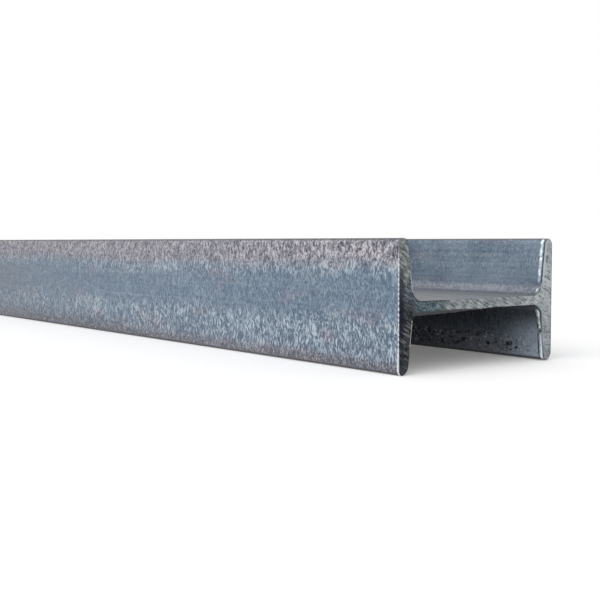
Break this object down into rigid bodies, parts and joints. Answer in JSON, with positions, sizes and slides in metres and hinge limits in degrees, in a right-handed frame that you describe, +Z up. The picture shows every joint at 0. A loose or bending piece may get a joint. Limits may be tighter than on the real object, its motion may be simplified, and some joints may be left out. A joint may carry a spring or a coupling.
{
  "type": "steel i-beam",
  "caption": "Hot-rolled steel I-beam with a thin web, tapered flanges, root fillets and rounded toes; one straight stock length, lying on its flange toes with the web level.",
  "frame": {"origin": "middle of the beam's length and depth, on the plane that its lower flange toes rest on", "axes": "+X along the beam's length, +Y across its depth from flange to flange, +Z up, square to the level web"},
  "size_m": [6, 0.126, 0.074],
  "materials": {
    "rolled_steel": "hot-rolled, with dull blue-grey mill scale, and bare at the cut ends"
  },
  "bodies": {
    "root": {"i_beam": "rolled_steel"}
  },
  "joints": []
}
